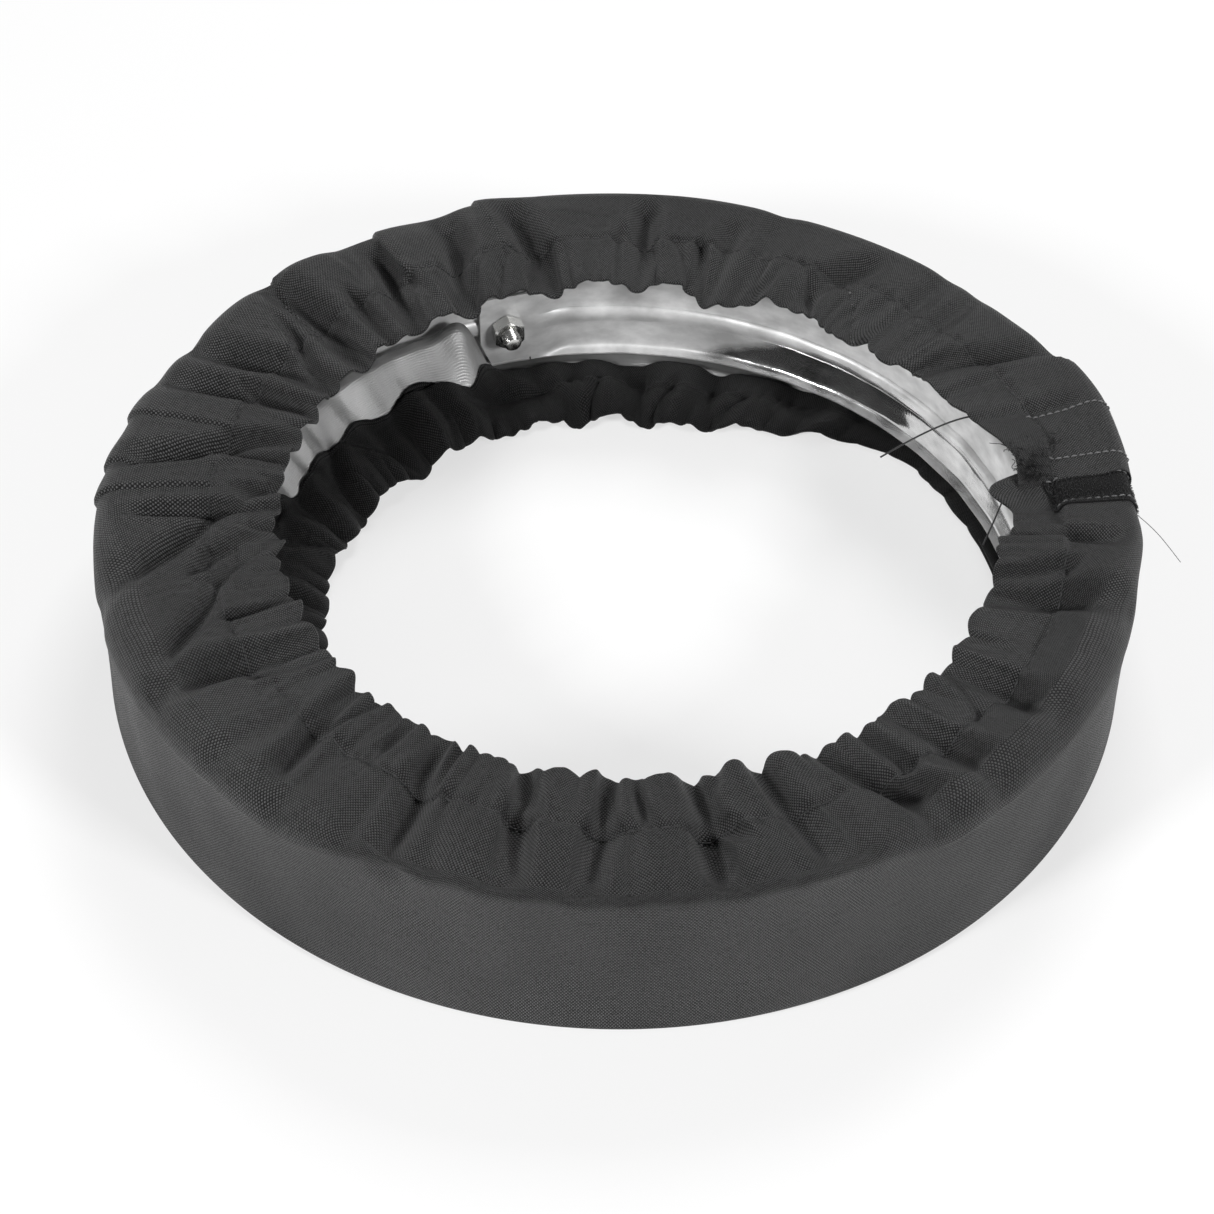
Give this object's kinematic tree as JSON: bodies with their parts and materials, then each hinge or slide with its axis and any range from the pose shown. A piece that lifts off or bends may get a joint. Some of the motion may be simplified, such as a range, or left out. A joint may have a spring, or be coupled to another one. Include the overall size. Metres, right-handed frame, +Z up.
{
  "type": "wheel cover",
  "caption": "Dark woven wheel cover: a gathered ring of silver-lined fabric with elastic hems and a hook-and-loop closure, held open by a rolled steel hoop",
  "frame": {"origin": "on the ring's axis, at the level of the surface the cover lies on", "axes": "+Z up along the ring's axis, +X towards the closure, +Y away from the picture's camera"},
  "size_m": [0.406, 0.406, 0.0717],
  "materials": {
    "oxford_fabric": "charcoal Oxford weave, silver coated on the inside",
    "elastic_tape": "white knitted elastic",
    "closure_tape": "black hook-and-loop pile",
    "hoop_steel": "bright rolled sheet with blurred reflections",
    "zinc_fastener": "bright zinc plate"
  },
  "bodies": {
    "cover": {"cover_strip": "oxford_fabric", "upper_casing": "oxford_fabric", "lower_casing": "oxford_fabric", "upper_elastic": "elastic_tape", "lower_elastic": "elastic_tape", "loop_tape": "closure_tape", "hoop": "hoop_steel", "hoop_bolt": "zinc_fastener", "hoop_washer": "zinc_fastener", "hoop_nut": "zinc_fastener"},
    "flap": {"closure_flap": "oxford_fabric", "hook_tape": "closure_tape"}
  },
  "joints": [
    {"name": "closure_peel", "type": "hinge", "parent": "cover", "child": "flap", "pos_m": [0.18398, 0.08579, 0.035], "axis": [0, 0, 1], "range_deg": [0, 60]}
  ]
}
